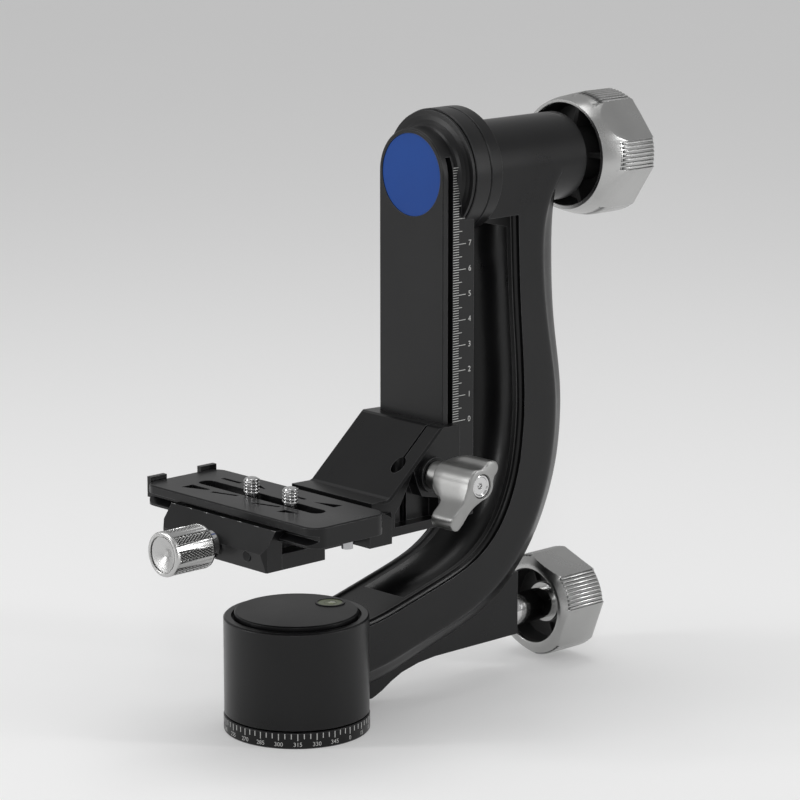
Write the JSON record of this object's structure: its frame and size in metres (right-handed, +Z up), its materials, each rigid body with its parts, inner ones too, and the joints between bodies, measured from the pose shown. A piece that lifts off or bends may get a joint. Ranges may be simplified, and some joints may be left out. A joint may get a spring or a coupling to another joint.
{
  "type": "gimbal tripod head",
  "caption": "Gimbal head for a tripod: a J-shaped upright pans on a round base and carries a tilting swing arm with a ruled rail, a sliding platform and a quick-release lens plate.",
  "frame": {"origin": "centre of the tripod socket in the underside of the base", "axes": "+Z up along the pan axis; +X along the tilt axis from the swing arm towards the tilt lock knob; +Y along the lens plate, away from the wing lever"},
  "size_m": [0.2402, 0.1027, 0.2348],
  "materials": {
    "black_anodised": "satin",
    "silver_satin": "satin",
    "steel": "satin",
    "polished_steel": "polished",
    "blue_disc": "gloss",
    "bubble_glass": "gloss",
    "brake_pad": "matte"
  },
  "bodies": {
    "tripod_base": {"degree_ring": "black_anodised", "pan_spindle": "steel", "thread_bush": "steel", "base_screw_1": "steel", "base_screw_2": "steel", "base_screw_3": "steel", "spindle_nut": "steel"},
    "frame": {"pan_frame": "black_anodised", "pan_bearing_lower": "steel", "pan_bearing_upper": "steel", "top_cap": "black_anodised", "level_ring": "black_anodised", "bubble_level": "bubble_glass", "tilt_bearing_front": "steel", "tilt_bearing_rear": "steel"},
    "shoe": {"brake_shoe": "brake_pad"},
    "pan_lock": {"pan_lock_knob": "silver_satin", "pan_lock_rod": "steel", "pan_lock_sleeve": "polished_steel", "pan_lock_collar": "polished_steel", "pan_lock_washer": "silver_satin"},
    "swing": {"swing_arm": "black_anodised", "label_disc": "blue_disc", "tilt_axle": "steel", "friction_disc": "brake_pad"},
    "tilt_lock": {"tilt_lock_knob": "silver_satin", "thrust_washer": "steel"},
    "platform": {"platform_bracket": "black_anodised", "guide_pin_near": "steel", "guide_pin_far": "steel", "lever_washer": "black_anodised"},
    "lever": {"wing_lever": "silver_satin", "lever_screw": "steel", "clamp_bolt": "steel"},
    "jaw": {"clamp_jaw": "black_anodised"},
    "jaw_knob": {"clamp_knob": "silver_satin", "clamp_rod": "steel", "clamp_collar": "polished_steel"},
    "plate": {"lens_plate": "black_anodised", "stop_tab_left": "black_anodised", "stop_tab_right": "black_anodised", "safety_screw_near": "steel", "safety_screw_far": "steel"},
    "keeper_near": {"screw_keeper_near": "steel"},
    "keeper_far": {"screw_keeper_far": "steel"},
    "screw_near": {"camera_screw_near": "steel"},
    "screw_far": {"camera_screw_far": "steel"}
  },
  "joints": [
    {"name": "pan", "type": "hinge", "parent": "tripod_base", "child": "frame", "pos_m": [0, 0, 0.026], "axis": [0, 0, 1], "continuous": true},
    {"name": "tilt", "type": "hinge", "parent": "frame", "child": "swing", "pos_m": [0.09, 0, 0.21], "axis": [1, 0, 0], "continuous": true},
    {"name": "pan_lock_turn", "type": "hinge", "parent": "frame", "child": "pan_lock", "pos_m": [0.12, 0, 0.0237], "axis": [1, 0, 0], "range_deg": [0, 360]},
    {"name": "brake_slide", "type": "slide", "parent": "frame", "child": "shoe", "axis": [-1, 0, 0], "range_m": [0, 0.001]},
    {"name": "tilt_lock_turn", "type": "hinge", "parent": "swing", "child": "tilt_lock", "pos_m": [0.15, 0, 0.21], "axis": [1, 0, 0], "range_deg": [0, 360]},
    {"name": "platform_slide", "type": "slide", "parent": "swing", "child": "platform", "axis": [0, 0, 1], "range_m": [0, 0.07]},
    {"name": "lever_turn", "type": "hinge", "parent": "platform", "child": "lever", "pos_m": [0.05, -0.03, 0.0965], "axis": [0, 1, 0], "range_deg": [0, 180]},
    {"name": "clamp_knob_turn", "type": "hinge", "parent": "jaw", "child": "jaw_knob", "pos_m": [-0.055, 0, 0.081], "axis": [-1, 0, 0], "range_deg": [0, 1440]},
    {"name": "jaw_slide", "type": "slide", "parent": "platform", "child": "jaw", "axis": [-1, 0, 0], "range_m": [0, 0.004]},
    {"name": "plate_slide", "type": "slide", "parent": "platform", "child": "plate", "axis": [0, 1, 0], "range_m": [-0.0135, 0.0135]},
    {"name": "keeper_near_slide", "type": "slide", "parent": "plate", "child": "keeper_near", "axis": [0, 1, 0], "range_m": [-0.011, 0.004]},
    {"name": "keeper_far_slide", "type": "slide", "parent": "plate", "child": "keeper_far", "axis": [0, 1, 0], "range_m": [-0.004, 0.022]},
    {"name": "screw_near_turn", "type": "hinge", "parent": "keeper_near", "child": "screw_near", "pos_m": [-0.0158, -0.0149, 0.095], "axis": [0, 0, 1], "continuous": true},
    {"name": "screw_far_turn", "type": "hinge", "parent": "keeper_far", "child": "screw_far", "pos_m": [-0.0158, 0.0073, 0.095], "axis": [0, 0, 1], "continuous": true}
  ],
  "couplings": [
    {"joint": "brake_slide", "follows": "pan_lock_turn", "m_per_rad": 0.00015915},
    {"joint": "clamp_knob_turn", "follows": "jaw_slide", "rad_per_m": 6283.2}
  ]
}
